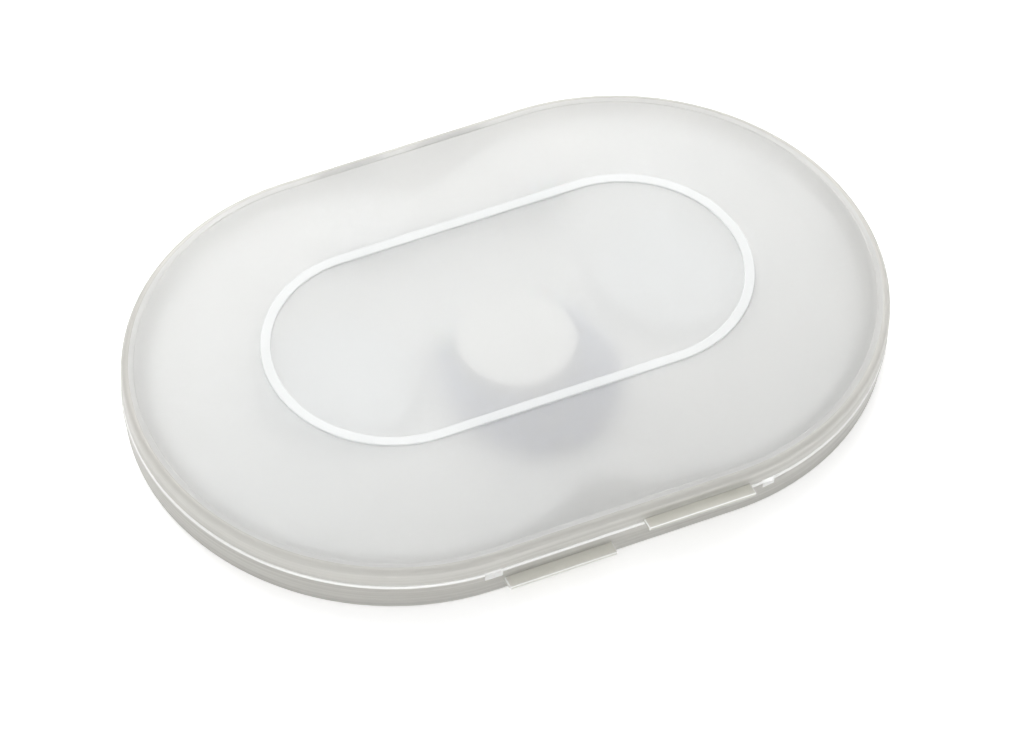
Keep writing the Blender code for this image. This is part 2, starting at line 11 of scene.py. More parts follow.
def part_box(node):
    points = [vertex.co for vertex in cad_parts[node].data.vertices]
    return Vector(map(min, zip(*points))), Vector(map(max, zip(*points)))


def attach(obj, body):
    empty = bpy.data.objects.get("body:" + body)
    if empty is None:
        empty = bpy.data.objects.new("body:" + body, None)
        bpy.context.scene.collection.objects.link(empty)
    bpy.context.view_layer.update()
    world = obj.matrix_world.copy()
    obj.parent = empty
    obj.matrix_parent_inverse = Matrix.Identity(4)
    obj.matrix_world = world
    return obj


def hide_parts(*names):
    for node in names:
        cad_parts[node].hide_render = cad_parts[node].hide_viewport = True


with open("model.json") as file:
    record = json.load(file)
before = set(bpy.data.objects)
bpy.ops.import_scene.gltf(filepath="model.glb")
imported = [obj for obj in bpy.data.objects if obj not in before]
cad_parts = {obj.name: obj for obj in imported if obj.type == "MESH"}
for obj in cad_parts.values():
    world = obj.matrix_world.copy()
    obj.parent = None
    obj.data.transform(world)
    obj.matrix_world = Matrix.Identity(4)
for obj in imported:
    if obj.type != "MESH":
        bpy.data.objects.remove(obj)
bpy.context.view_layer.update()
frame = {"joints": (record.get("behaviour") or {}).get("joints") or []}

MM = 0.001

# Overall sizes: the frame's boxes, and the sizes that boxes don't give
BASE_LOW, BASE_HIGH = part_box("base_shell")
LID_LOW, LID_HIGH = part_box("lid_shell")
TRAY_LOW, TRAY_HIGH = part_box("lens_tray")
JOINTS = {joint["name"]: joint for joint in frame["joints"]}
HINGE = Vector(JOINTS["lid_hinge"]["pos_m"])
END_RADIUS = 43.7 * MM
HALF_STRAIGHT = BASE_HIGH.x - END_RADIUS
WALL = 1.2 * MM
LIP_HEIGHT = 1.2 * MM
RIM_Z = BASE_HIGH.z - LIP_HEIGHT
SEAT_GAP = 0.3 * MM
PARTING_GAP = 0.3 * MM
LID_Z = RIM_Z + PARTING_GAP
BAND_HEIGHT = 0.3 * MM
BAND_RADIUS = 20.2 * MM
BAND_WIDTH = 1.8 * MM
PANEL_Z = LID_HIGH.z - BAND_HEIGHT
LID_RISE = 4.5 * MM
SHOULDER_Z = PANEL_Z - LID_RISE
LINE_INSET = 2.2 * MM
DOME_POWER = 1.8
EDGE_ROUND = 1.2 * MM
LIP_RADIUS = END_RADIUS - WALL - SEAT_GAP
ARC_STEPS = 72
ROUND_STEPS = 96
SHARP_DEGREES = 30
BEVEL_DEGREES = 40
BEVELLED_SHARP_DEGREES = 50
LONGEST_EASE = 2.2


# ---------------------------------------------------------------- shapes


def add_piece(name, bm, materials):
    """Mesh object with outward faces, smooth but for its sharp edges."""
    bmesh.ops.recalc_face_normals(bm, faces=bm.faces)
    mesh = bpy.data.meshes.new(name)
    bm.to_mesh(mesh)
    bm.free()
    mesh.shade_smooth()
    mesh.set_sharp_from_angle(angle=math.radians(SHARP_DEGREES))
    for material in materials:
        mesh.materials.append(material)
    piece = bpy.data.objects.new(name, mesh)
    bpy.context.scene.collection.objects.link(piece)
    return piece


def apply_boolean(piece, tool, operation):
    """Add or cut a helper shape, and keep only the result."""
    step = piece.modifiers.new("shape", "BOOLEAN")
    step.operation = operation
    step.solver = "EXACT"
    step.object = tool
    depsgraph = bpy.context.evaluated_depsgraph_get()
    result = bpy.data.meshes.new_from_object(piece.evaluated_get(depsgraph))
    piece.modifiers.clear()
    old = piece.data
    piece.data = result
    result.name = old.name
    bpy.data.meshes.remove(old)
    bpy.data.objects.remove(tool)
    return piece


def loft(rings, slots=None):
    """Closed body through rings of equally many points; slots gives each band's material."""
    bm = bmesh.new()
    loops = [[bm.verts.new(point) for point in ring] for ring in rings]
    for count, (low, high) in enumerate(zip(loops, loops[1:])):
        for here in range(len(low)):
            after = (here + 1) % len(low)
            face = bm.faces.new((low[here], low[after], high[after], high[here]))
            face.material_index = slots[count] if slots else 0
    bm.faces.new(loops[0])
    bm.faces.new(loops[-1])
    return bm


def stadium(radius, z, steps=ARC_STEPS):
    """Obround outline about the case's spine."""
    points = []
    for side in (1, -1):
        for step in range(steps + 1):
            turn = math.pi * (step / steps - 0.5)
            x = side * (HALF_STRAIGHT + radius * math.cos(turn))
            points.append(Vector((x, side * radius * math.sin(turn), z)))
    return points


def corner(centre, radius, start, end, steps):
    """Points of a profile's rounded corner, angles in degrees."""
    turns = [math.radians(start + (end - start) * step / steps) for step in range(steps + 1)]
    return [(centre[0] + radius * math.cos(t), centre[1] + radius * math.sin(t)) for t in turns]


def bevelled_block(name, low, high, rounding, materials, face_slot=0, edge_slot=0):
    """Block with rounded edges, which may have a finish of their own."""
    low, high = Vector(low), Vector(high)
    bm = bmesh.new()
    place = Matrix.Translation((low + high) / 2) @ Matrix.Diagonal((*(high - low), 1))
    bmesh.ops.create_cube(bm, size=1, matrix=place)
    for face in bm.faces:
        face.material_index = face_slot
    made = bmesh.ops.bevel(bm, geom=bm.edges[:], offset=rounding, segments=3, profile=0.5, affect="EDGES")
    for face in made["faces"]:
        face.material_index = edge_slot
    return add_piece(name, bm, materials)


def eased(profile, size, steps=4):
    """Profile with its inner corners rounded, as far as their sides allow."""
    points = [Vector(point) for point in profile]
    result = [points[0]]
    for before, here, after in zip(points, points[1:], points[2:]):
        back, ahead = before - here, after - here
        start = here + back.normalized() * min(size, back.length / LONGEST_EASE)
        end = here + ahead.normalized() * min(size, ahead.length / LONGEST_EASE)
        for step in range(steps + 1):
            t = step / steps
            result.append(start * (1 - t) ** 2 + here * 2 * t * (1 - t) + end * t**2)
    return result + [points[-1]]


def turned(name, profile, centre, materials, rounding=0.0, steps=ROUND_STEPS, ribs=0, rib_depth=0.0):
    """Body turned about an upright axis from (radius, height) points; ribs flute its widest band."""
    if rounding:
        profile = eased(profile, rounding)
    widest = max(radius for radius, _ in profile)
    rings = []
    for radius, z in profile:
        ring = []
        for step in range(steps):
            turn = math.tau * step / steps
            groove = rib_depth * (0.5 - 0.5 * math.cos(ribs * turn)) if radius > widest - MM / 100 else 0
            reach = radius - groove
            ring.append(centre + Vector((reach * math.cos(turn), reach * math.sin(turn), z)))
        rings.append(ring)
    return add_piece(name, loft(rings), materials)


def soften(piece, width):
    """Round a piece's sharp edges a little, and keep only the result."""
    step = piece.modifiers.new("soft_edges", "BEVEL")
    step.width = width
    step.segments = 2
    step.limit_method = "ANGLE"
    step.angle_limit = math.radians(BEVEL_DEGREES)
    step.use_clamp_overlap = True
    result = bpy.data.meshes.new_from_object(piece.evaluated_get(bpy.context.evaluated_depsgraph_get()))
    piece.modifiers.clear()
    piece.data = result
    result.shade_smooth()
    result.set_sharp_from_angle(angle=math.radians(BEVELLED_SHARP_DEGREES))
    return piece


def rod(name, radius, start, length, y, z, materials, rounding=0.0, steps=32):
    """Cylinder along X with rounded ends."""
    bm = bmesh.new()
    middle = Vector((start + length / 2, y, z))
    place = Matrix.Translation(middle) @ Matrix.Rotation(math.pi / 2, 4, "Y")
    bmesh.ops.create_cone(
        bm, cap_ends=True, segments=steps, radius1=radius, radius2=radius, depth=length, matrix=place
    )
    if rounding:
        ends = [edge for edge in bm.edges if abs(edge.verts[0].co.x - edge.verts[1].co.x) < rounding / 10]
        bmesh.ops.bevel(bm, geom=ends, offset=rounding, segments=3, profile=0.5, affect="EDGES")
    return add_piece(name, bm, materials)


# ---------------------------------------------------------------- shader groups

FLOW_RANGE = (0.38, 0.62)
FLOW_STRETCH = (12, 12, 1500)
HAIRLINE_RANGE = (0.66, 0.74)
HAIRLINE_STRETCH = (40, 1400, 40)
HAIRLINE_TURNS = (0.35, 1.9)
PATCH_SCALE = 90.0
PATCH_RANGE = (0.3, 0.7)
RELIEF_DEPTH = 0.02 * MM


def new_group(name, inputs, outputs):
    """Empty shader group with named sockets: floats, but for outputs called Color."""
    group = bpy.data.node_groups.new(name, "ShaderNodeTree")
    for label, value in inputs.items():
        kind = "NodeSocketColor" if isinstance(value, tuple) else "NodeSocketFloat"
        socket = group.interface.new_socket(name=label, in_out="INPUT", socket_type=kind)
        socket.default_value = value
    for label in outputs:
        kind = "NodeSocketColor" if label == "Color" else "NodeSocketFloat"
        group.interface.new_socket(name=label, in_out="OUTPUT", socket_type=kind)
    return group, group.nodes.new("NodeGroupInput"), group.nodes.new("NodeGroupOutput")


def noise(group, scale, detail=2.0, roughness=0.5):
    """Noise over the object's own coordinates."""
    place = group.nodes.new("ShaderNodeTexCoord")
    texture = group.nodes.new("ShaderNodeTexNoise")
    texture.inputs["Detail"].default_value = detail
    texture.inputs["Roughness"].default_value = roughness
    group.links.new(place.outputs["Object"], texture.inputs["Vector"])
    if isinstance(scale, float):
        texture.inputs["Scale"].default_value = scale
    else:
        group.links.new(scale, texture.inputs["Scale"])
    return texture.outputs["Fac"]


def stretched_noise(group, stretch, turn=0.0):
    """Noise drawn out into lines, and turned about Z."""
    place = group.nodes.new("ShaderNodeTexCoord")
    spin = group.nodes.new("ShaderNodeMapping")
    spin.inputs["Rotation"].default_value = (0, 0, turn)
    spin.inputs["Scale"].default_value = stretch
    texture = group.nodes.new("ShaderNodeTexNoise")
    texture.inputs["Scale"].default_value = 1.0
    texture.inputs["Detail"].default_value = 2.0
    group.links.new(place.outputs["Object"], spin.inputs["Vector"])
    group.links.new(spin.outputs["Vector"], texture.inputs["Vector"])
    return texture.outputs["Fac"]


def blend_colours(group, share, first, second):
    """Mix of two colour sockets."""
    mix = group.nodes.new("ShaderNodeMix")
    mix.data_type = "RGBA"
    group.links.new(share, mix.inputs[0])
    group.links.new(first, mix.inputs[6])
    group.links.new(second, mix.inputs[7])
    return mix.outputs[2]


def ramp(group, value, limits):
    """Value between two limits mapped to 0 to 1; returns the node, so its ends can be set."""
    scaled = group.nodes.new("ShaderNodeMapRange")
    scaled.inputs["From Min"].default_value, scaled.inputs["From Max"].default_value = limits
    group.links.new(value, scaled.inputs["Value"])
    return scaled


def make_tone_group():
    """Slow clouding of a moulded plastic's colour, and level flow lines round its walls."""
    inputs = {"Pale": (1, 1, 1, 1), "Deep": (0.8, 0.8, 0.8, 1), "Scale": 30.0, "Flow Lines": 0.0}
    group, start, end = new_group("moulded_tone", inputs, ("Color",))
    cloud = noise(group, start.outputs["Scale"], 3.0)
    lines = ramp(group, stretched_noise(group, FLOW_STRETCH), FLOW_RANGE)
    choice = group.nodes.new("ShaderNodeMix")
    group.links.new(start.outputs["Flow Lines"], choice.inputs[0])
    group.links.new(cloud, choice.inputs[2])
    group.links.new(lines.outputs["Result"], choice.inputs[3])
    colour = blend_colours(group, choice.outputs[0], start.outputs["Pale"], start.outputs["Deep"])
    group.links.new(colour, end.inputs["Color"])
    return group


def make_grain_group():
    """Satin spark-eroded grain: a height for the bump and a roughness that varies in patches."""
    inputs = {"Grain Scale": 2500.0, "Smoothest": 0.4, "Roughest": 0.55}
    group, start, end = new_group("satin_grain", inputs, ("Height", "Roughness"))
    grain = noise(group, start.outputs["Grain Scale"], 4.0, 0.6)
    group.links.new(grain, end.inputs["Height"])
    patches = ramp(group, noise(group, PATCH_SCALE), PATCH_RANGE)
    group.links.new(start.outputs["Smoothest"], patches.inputs["To Min"])
    group.links.new(start.outputs["Roughest"], patches.inputs["To Max"])
    group.links.new(patches.outputs["Result"], end.inputs["Roughness"])
    return group


def make_wear_group():
    """Fine hairlines from handling: faint crossed scratches as a mask."""
    group, start, end = new_group("hairlines", {"Amount": 0.3}, ("Mask",))
    both = group.nodes.new("ShaderNodeMath")
    both.operation = "MAXIMUM"
    for count, turn in enumerate(HAIRLINE_TURNS):
        lines = ramp(group, stretched_noise(group, HAIRLINE_STRETCH, turn), HAIRLINE_RANGE)
        group.links.new(lines.outputs["Result"], both.inputs[count])
    scaled = group.nodes.new("ShaderNodeMath")
    scaled.operation = "MULTIPLY"
    group.links.new(both.outputs[0], scaled.inputs[0])
    group.links.new(start.outputs["Amount"], scaled.inputs[1])
    group.links.new(scaled.outputs[0], end.inputs["Mask"])
    return group


TONE = make_tone_group()
GRAIN = make_grain_group()
HAIRLINES = make_wear_group()


def place_group(tree, group, **values):
    """Put a shared group into a material with its own values."""
    node = tree.nodes.new("ShaderNodeGroup")
    node.node_tree = group
    for label, value in values.items():
        node.inputs[label.replace("_", " ")].default_value = value
    return node


def moulded(
    name, pale, deep, smooth, rough, grain=2500.0, bump=0.05, tone=30.0, wear=0.0, flow=0.0, **sockets
):
    """Moulded plastic, rubber or metal: clouded colour, satin grain and faint hairlines."""
    material = bpy.data.materials.new(name)
    material.use_nodes = True
    tree = material.node_tree
    shader = tree.nodes["Principled BSDF"]
    colour = place_group(tree, TONE, Pale=(*pale, 1), Deep=(*deep, 1), Scale=tone, Flow_Lines=flow)
    tree.links.new(colour.outputs["Color"], shader.inputs["Base Color"])
    surface = place_group(tree, GRAIN, Grain_Scale=grain, Smoothest=smooth, Roughest=rough)
    roughness = surface.outputs["Roughness"]
    height = surface.outputs["Height"]
    if wear:
        lines = place_group(tree, HAIRLINES, Amount=wear)
        add = tree.nodes.new("ShaderNodeMath")
        add.operation = "ADD"
        add.use_clamp = True
        tree.links.new(roughness, add.inputs[0])
        tree.links.new(lines.outputs["Mask"], add.inputs[1])
        roughness = add.outputs[0]
    tree.links.new(roughness, shader.inputs["Roughness"])
    relief = tree.nodes.new("ShaderNodeBump")
    relief.inputs["Strength"].default_value = bump
    relief.inputs["Distance"].default_value = RELIEF_DEPTH
    tree.links.new(height, relief.inputs["Height"])
    tree.links.new(relief.outputs["Normal"], shader.inputs["Normal"])
    for label, value in sockets.items():
        shader.inputs[label.replace("_", " ")].default_value = value
    return material


# ---------------------------------------------------------------- materials

PLASTIC_IOR = 1.49
BOW_TINT_RANGE = (-21 * MM, -9 * MM)
ARM_TINT = (0.26, 0.30, 0.42, 1)


def frosted(name, pale, deep, smooth, rough, transmission, **extra):
    """Frosted polypropylene, which lets part of the light through."""
    light = {"Transmission_Weight": transmission, "IOR": PLASTIC_IOR}
    return moulded(name, pale, deep, smooth, rough, **light, **extra)


def silicone_rubber():
    """Milky rubber of the seals, the tweezers' tips and the suction cup."""
    milk = {"Subsurface_Weight": 0.2, "Subsurface_Scale": 0.001}
    return moulded("milky_silicone", (0.84, 0.86, 0.87), (0.78, 0.8, 0.82), 0.45, 0.6, grain=1200.0, **milk)


def tweezer_plastic():
    """Tinted plastic: the thick bow holds more of the tint than the thin arms do."""
    material = moulded("blue_grey", (0.035, 0.06, 0.17), (0.028, 0.045, 0.14), 0.38, 0.48, wear=0.06)
    tree = material.node_tree
    place = tree.nodes.new("ShaderNodeTexCoord")
    split = tree.nodes.new("ShaderNodeSeparateXYZ")
    depth = ramp(tree, split.outputs["Y"], BOW_TINT_RANGE)
    mix = tree.nodes.new("ShaderNodeMix")
    mix.data_type = "RGBA"
    mix.inputs[7].default_value = ARM_TINT
    shader = tree.nodes["Principled BSDF"]
    tint = shader.inputs["Base Color"].links[0].from_socket
    tree.links.new(place.outputs["Object"], split.inputs["Vector"])
    tree.links.new(depth.outputs["Result"], mix.inputs[0])
    tree.links.new(tint, mix.inputs[6])
    tree.links.new(mix.outputs[2], shader.inputs["Base Color"])
    return material


def metal(name, pale, deep, smooth, rough, **extra):
    """Metal with a fine drawn or polished grain."""
    return moulded(name, pale, deep, smooth, rough, Metallic=1.0, **extra)


MATERIALS = {
    "lid": frosted(
        "frosted_lid", (0.955, 0.963, 0.960), (0.925, 0.922, 0.908), 0.54, 0.62, 0.73,
        wear=0.03, bump=0.15, tone=22.0,
    ),
    # Walls face sideways and are seen nearly edge on: their darker, warmer grey is painted shade, while
    # their flow lines are real
    "wall": frosted(
        "frosted_wall_painted_shade", (0.785, 0.775, 0.735), (0.61, 0.60, 0.56), 0.42, 0.5, 0.5,
        wear=0.03, bump=0.12, flow=0.75,
    ),
    # The base's floor is greyer, because less light reaches it
    "floor": frosted(
        "frosted_floor", (0.68, 0.68, 0.66), (0.62, 0.62, 0.60), 0.36, 0.46, 0.45, wear=0.05, bump=0.12
    ),
    # The base's ledge is thin, and its paler colour is painted light, standing for the light that comes
    # through it from below
    "base_ledge": frosted(
        "frosted_base_ledge_painted_light", (0.94, 0.93, 0.865), (0.87, 0.86, 0.79), 0.30, 0.40, 0.5, wear=0.05, bump=0.12
    ),
    # The lid's ledge is painted a darker grey: painted shade on the same frosted plastic
    "lid_ledge": frosted(
        "frosted_lid_ledge_painted_shade", (0.79, 0.78, 0.715), (0.71, 0.70, 0.63), 0.30, 0.40, 0.5, wear=0.05, bump=0.12
    ),
    "band": frosted("raised_band", (0.84, 0.852, 0.85), (0.78, 0.792, 0.79), 0.6, 0.7, 0.3),
    # Upper edges of the rim and ledges are polished; their near-white colour is a painted highlight where
    # they catch the light
    "edge": moulded(
        "polished_edge_painted_highlight", (0.96, 0.96, 0.95), (0.92, 0.92, 0.91), 0.15, 0.22, IOR=PLASTIC_IOR, bump=0.02
    ),
    "tray": moulded("tray_white", (0.88, 0.885, 0.885), (0.845, 0.85, 0.855), 0.42, 0.52, wear=0.05),
    "cup": moulded(
        "cup_white", (0.86, 0.875, 0.885), (0.82, 0.84, 0.85), 0.2, 0.28, bump=0.03, Coat_Weight=0.2
    ),
    "cap": moulded("cap_white", (0.84, 0.86, 0.88), (0.79, 0.815, 0.84), 0.32, 0.42, wear=0.08),
    "mirror_back": moulded("mirror_back", (0.89, 0.89, 0.885), (0.85, 0.855, 0.855), 0.25, 0.32, wear=0.05),
    "silicone": silicone_rubber(),
    "tweezer": tweezer_plastic(),
    "steel": metal("drawn_steel", (0.68, 0.68, 0.7), (0.58, 0.58, 0.6), 0.22, 0.38, grain=600.0),
    "dark_steel": metal("dark_steel", (0.08, 0.09, 0.12), (0.06, 0.07, 0.1), 0.3, 0.45, grain=600.0),
    "mirror": metal("silvered_glass", (0.9, 0.91, 0.92), (0.88, 0.89, 0.9), 0.03, 0.06, bump=0.0),
}


# ---------------------------------------------------------------- case shells

LEDGE_LENGTH = 19.0 * MM
LEDGE_THICKNESS = 0.7 * MM
LEDGE_ROOT = 0.7 * MM
LEDGE_ROUND = 0.14 * MM
LINE_GROOVE = 0.2 * MM
DOME_STEPS = 24
LID_CHAMFER = 0.25 * MM
BAND_EASE = 0.08 * MM
LID_LEDGE_LIFT = 0.05 * MM
BASE_LEDGE_X = -10.6 * MM
LID_LEDGE_X = 13.9 * MM
BASE_LEDGE_TOP = RIM_Z - 2.3 * MM
NOTCH_HEIGHT = 1.3 * MM
NOTCH_DEPTH = 0.9 * MM
NOTCH_ROUND = 0.1 * MM
NOTCHES = ((-22.1 * MM, 3.1 * MM), (26.9 * MM, 2.2 * MM))
RIM_CHAMFER = 0.25 * MM
BASE_DRAFT = 0.5 * MM
FLOOR = 1.2 * MM
LIP_THICKNESS = 0.8 * MM
LIP_ROUND = 0.2 * MM
LIP_ROOT = 0.1 * MM
RIM_BAND = 1.3 * MM
RIM_STEP = 0.12 * MM
FLOOR_STEPS = 5
KNUCKLE_RADIUS = 1.6 * MM
KNUCKLE_LENGTH = 3.8 * MM
HINGE_STATION = 9.2 * MM
PIN_BORE = 0.95 * MM
ARM_OUT = 1.3 * MM
ARM_TOP = 7.4 * MM


def dome_height(radius):
    """Height of the lid's outer face at a distance from the spine."""
    share = (radius - BAND_RADIUS) / (END_RADIUS - LINE_INSET - BAND_RADIUS)
    return PANEL_Z - LID_RISE * max(share, 0) ** DOME_POWER


def knuckle_spans(own):
    """Start of each knuckle: the base has the outer two of each three, the lid the middle one."""
    pitch = KNUCKLE_LENGTH + SEAT_GAP
    offsets = (-pitch, pitch) if own == "base" else (0,)
    stations = (-HINGE_STATION, HINGE_STATION)
    return [station + offset - KNUCKLE_LENGTH / 2 for station in stations for offset in offsets]


def add_knuckles(shell, own, material):
    """Clear the other shell's knuckles, add this shell's and bore them for the pins."""
    other = "lid" if own == "base" else "base"
    room = KNUCKLE_RADIUS + SEAT_GAP
    for start in knuckle_spans(other):
        length = KNUCKLE_LENGTH + 2 * SEAT_GAP
        apply_boolean(shell, rod("room", room, start - SEAT_GAP, length, HINGE.y, HINGE.z, []), "DIFFERENCE")
    for start in knuckle_spans(own):
        knuckle = rod("knuckle", KNUCKLE_RADIUS, start, KNUCKLE_LENGTH, HINGE.y, HINGE.z, [material])
        apply_boolean(shell, knuckle, "UNION")
        if own == "lid":
            low = (start, END_RADIUS - WALL / 2, HINGE.z)
            high = (start + KNUCKLE_LENGTH, END_RADIUS + ARM_OUT, ARM_TOP)
            arm = bevelled_block("arm", low, high, SEAT_GAP / 2, [material])
            apply_boolean(shell, arm, "UNION")
    length = 3 * KNUCKLE_LENGTH + 4 * SEAT_GAP
    for station in (-HINGE_STATION, HINGE_STATION):
        bore = rod("bore", PIN_BORE, station - length / 2, length, HINGE.y, HINGE.z, [])
        apply_boolean(shell, bore, "DIFFERENCE")


def make_base_shell():
    """Shallow dish: rounded foot, drafted wall, a rim band, a rim edge with a painted highlight and the lap
    lip.
    """
    foot = END_RADIUS - BASE_DRAFT
    lip_inner = LIP_RADIUS - LIP_THICKNESS
    outer = corner((foot - EDGE_ROUND, EDGE_ROUND), EDGE_ROUND, -90, 0, 8)
    band_low = RIM_Z - RIM_BAND
    outer += [(END_RADIUS - RIM_STEP, band_low - RIM_STEP), (END_RADIUS, band_low)]
    outer += [(END_RADIUS, RIM_Z - RIM_CHAMFER), (END_RADIUS - RIM_CHAMFER, RIM_Z)]
    edge_slot = len(outer) - 2
    tail = [(LIP_RADIUS + LIP_ROOT, RIM_Z), (LIP_RADIUS, RIM_Z + LIP_ROOT)]
    top = RIM_Z + LIP_HEIGHT
    tail += corner((LIP_RADIUS - LIP_ROUND, top - LIP_ROUND), LIP_ROUND, 0, 90, 3)
    tail += corner((lip_inner + LIP_ROUND, top - LIP_ROUND), LIP_ROUND, 90, 180, 3)
    tail += [(lip_inner, RIM_Z - RIM_BAND), (foot - WALL, RIM_Z - 2 * RIM_BAND)]
    tail += corner((foot - WALL - EDGE_ROUND, FLOOR + EDGE_ROUND), EDGE_ROUND, 0, -90, FLOOR_STEPS)
    profile = outer + tail
    slots = [0] * (len(profile) - 1)
    # The rim chamfer's bands take the edge finish, with its painted highlight
    slots[edge_slot : edge_slot + 2] = [1, 1]
    slots[-FLOOR_STEPS:] = [3] * FLOOR_STEPS
    rings = [stadium(radius, z) for radius, z in profile]
    finishes = [MATERIALS[name] for name in ("wall", "edge", "base_ledge", "floor")]
    body = loft(rings, slots)
    body.faces.ensure_lookup_table()
    body.faces[-1].material_index = 3
    base = add_piece("case_base_shell", body, finishes)
    # The ledge's top takes the base ledge's painted light, and its rounded edges take the painted highlight
    # of the edge finish
    low = (BASE_LEDGE_X - LEDGE_LENGTH / 2, BASE_LOW.y, BASE_LEDGE_TOP - LEDGE_THICKNESS)
    high = (BASE_LEDGE_X + LEDGE_LENGTH / 2, -END_RADIUS + LEDGE_ROOT, BASE_LEDGE_TOP)
    apply_boolean(base, bevelled_block("ledge", low, high, LEDGE_ROUND, finishes, 2, 1), "UNION")
    # The notches are lined with the edge finish, whose near-white colour is a painted highlight
    for x, length in NOTCHES:
        low = (x - length / 2, -END_RADIUS - WALL, RIM_Z - NOTCH_HEIGHT)
        high = (x + length / 2, -END_RADIUS + NOTCH_DEPTH, RIM_Z + SEAT_GAP)
        apply_boolean(base, bevelled_block("notch", low, high, NOTCH_ROUND, finishes, 1, 1), "DIFFERENCE")
    add_knuckles(base, "base", MATERIALS["wall"])
    finish_shell(base, "base_shell", "frosted_base", "case_base")


def make_lid_shell():
    """Cover: upright skirt, rounded shoulder, convex dome, raised band and flat panel."""
    line = END_RADIUS - LINE_INSET
    band_outer = BAND_RADIUS + BAND_WIDTH / 2
    band_inner = BAND_RADIUS - BAND_WIDTH / 2
    dome = [line + (band_outer - line) * step / DOME_STEPS for step in range(DOME_STEPS + 1)]
    shoulder = (END_RADIUS - EDGE_ROUND, SHOULDER_Z - EDGE_ROUND)
    outer = [(END_RADIUS - LID_CHAMFER, LID_Z), (END_RADIUS, LID_Z + LID_CHAMFER)]
    outer += corner(shoulder, EDGE_ROUND, 0, 90, 8)
    skirt_bands = len(outer) - 1
    flat = outer[-1][1]
    outer += [(line + LINE_GROOVE, flat), (line + LINE_GROOVE / 4, flat - LINE_GROOVE / 2)]
    outer += [(radius, dome_height(radius) - (LINE_GROOVE / 2 if radius == line else 0)) for radius in dome]
    dome_bands = len(outer) - 1
    top = PANEL_Z + BAND_HEIGHT
    outer += [(band_outer - BAND_EASE / 2, top - BAND_EASE), (band_outer - 2 * BAND_EASE, top)]
    outer += [(band_inner + 2 * BAND_EASE, top), (band_inner + BAND_EASE / 2, top - BAND_EASE)]
    outer += [(band_inner, PANEL_Z)]
    band_bands = len(outer) - 1
    inner = [(END_RADIUS - WALL, LID_Z), (END_RADIUS - WALL, SHOULDER_Z - WALL - WALL / 2)]
    inner += [(line, SHOULDER_Z - WALL)]
    inner += [(radius, dome_height(radius) - WALL) for radius in dome[1:]]
    profile = outer[::-1] + inner
    # The skirt takes the wall finish, which is painted shade
    slots = []
    for count in range(len(profile) - 1):
        from_rim = len(outer) - 2 - count
        if dome_bands <= from_rim < band_bands:
            slots.append(1)
        elif 0 <= from_rim < skirt_bands:
            slots.append(2)
        else:
            slots.append(0)
    rings = [stadium(radius, z) for radius, z in profile]
    finishes = [MATERIALS[name] for name in ("lid", "band", "wall", "lid_ledge", "edge")]
    lid = add_piece("case_lid_shell", loft(rings, slots), finishes)
    # The lid's ledge takes its darker finish, which is painted shade, and its rounded edges take the painted
    # highlight of the edge finish
    bottom = LID_Z + LID_LEDGE_LIFT
    low = (LID_LEDGE_X - LEDGE_LENGTH / 2, LID_LOW.y, bottom)
    high = (LID_LEDGE_X + LEDGE_LENGTH / 2, -END_RADIUS + LEDGE_ROOT, bottom + LEDGE_THICKNESS)
    apply_boolean(lid, bevelled_block("ledge", low, high, LEDGE_ROUND, finishes, 3, 4), "UNION")
    add_knuckles(lid, "lid", MATERIALS["wall"])
    finish_shell(lid, "lid_shell", "frosted_lid", "lid")


def finish_shell(piece, node, slot, body):
    """Shade a shell, and let it stand for its node."""
    piece.data.shade_smooth()
    piece.data.set_sharp_from_angle(angle=math.radians(SHARP_DEGREES))
    settle(piece, body, slot, node)


def settle(piece, body, slot, *nodes):
    """Tie a piece to its body and hide the nodes that it stands for; the finish given to it is not used."""
    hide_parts(*nodes)
    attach(piece, body)


# ---------------------------------------------------------------- lens tray and cups

TRAY_RADIUS = TRAY_HIGH.x - HALF_STRAIGHT
TRAY_TOP = 7.5 * MM
TRAY_WALL = 1.0 * MM
TRAY_ROUND = 0.8 * MM
SLEEVE_GAP = 0.5 * MM
STAND_WALL = 2.0 * MM
STAND_RADIUS = 7.5 * MM
CRADLE_X = 12.0 * MM
CRADLE_LENGTH = 4.0 * MM
CRADLE_WIDTH = 6.0 * MM
WELL_RADIUS = 9.2 * MM
CUP_WALL = 1.2 * MM
FOOT_THICKNESS = 1.0 * MM
THREAD_PITCH = 2.4 * MM
THREAD_HEIGHT = 0.7 * MM
THREAD_WIDTH = 0.7 * MM
THREAD_CREST = 0.4 * MM
THREAD_SINK = 0.2 * MM
THREAD_START = 1.4 * MM
THREAD_FADE = 12
THREAD_LEAST = 0.02
CUP_FOOT_SLOPE = 0.4 * MM
CUP_EASE = 0.2 * MM
CAP_WALL = 1.3 * MM
CAP_TOP = 1.0 * MM
GRIP_RIBS = 48
GRIP_DEPTH = 0.22 * MM
CAP_EASE = 0.3 * MM
CAP_DISH = 0.25 * MM
CAP_RIM = 1.6 * MM
CAP_SLOPE = 2.2 * MM
CAP_FLAT = 4 * MM
SEAL_RIM = 0.5 * MM
SEAL_EASE = 0.12 * MM


def box_centre(node):
    """Middle of a node's box, on the floor plane."""
    low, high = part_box(node)
    return Vector(((low.x + high.x) / 2, (low.y + high.y) / 2, 0))


def half_width(node):
    """Radius of a round node, from its box."""
    low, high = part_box(node)
    return (high.x - low.x) / 2


def coin(name, node, radius, rim, centre, finish, ease):
    """Round disc of a node's thickness, with eased edges."""
    low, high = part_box(node)
    profile = [(radius - rim, low.z), (radius, low.z), (radius, high.z), (radius - rim, high.z)]
    return turned(name, profile, centre, [MATERIALS[finish]], ease)


def two_lobes(radius, z, steps=64):
    """Outline of two discs about the case's end centres, with a waist where they cross."""
    reach = math.acos(-HALF_STRAIGHT / radius)
    points = []
    for side in (1, -1):
        for step in range(2 * steps):
            turn = reach * (step / steps - 1)
            x = side * (HALF_STRAIGHT + radius * math.cos(turn))
            points.append(Vector((x, side * radius * math.sin(turn), z)))
    return points


